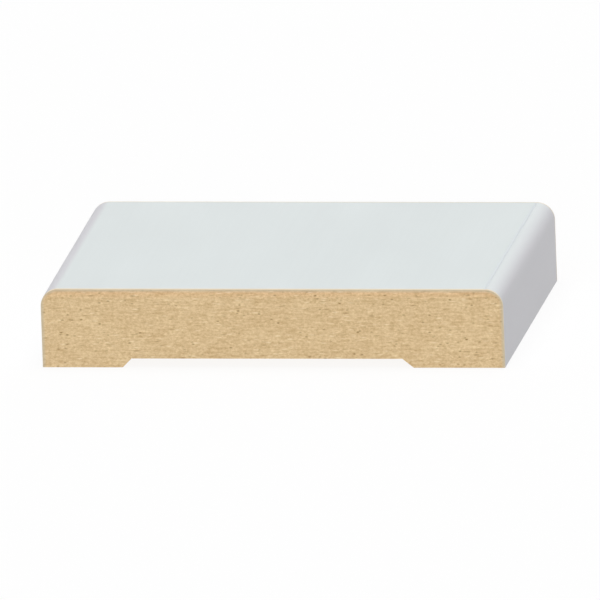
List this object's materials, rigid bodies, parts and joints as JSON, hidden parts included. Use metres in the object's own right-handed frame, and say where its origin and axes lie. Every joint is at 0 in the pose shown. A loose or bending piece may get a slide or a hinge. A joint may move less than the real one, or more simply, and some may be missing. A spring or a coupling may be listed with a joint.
{
  "type": "casing moulding",
  "caption": "Short length of flat door and window casing in primed fibreboard, with eased front edges and a shallow hollow along the back so that it sits flat over the wall joint.",
  "frame": {"origin": "middle of the piece on the plane of the two back lands", "axes": "+X across the face to the right as seen from the near sawn end, +Y along the moulding away from that end, +Z from the wall out to the face"},
  "size_m": [0.0826, 0.0636, 0.0143],
  "materials": {
    "primer": "satin",
    "raw_fibreboard": "matte"
  },
  "bodies": {
    "root": {"casing": "primer"}
  },
  "joints": []
}
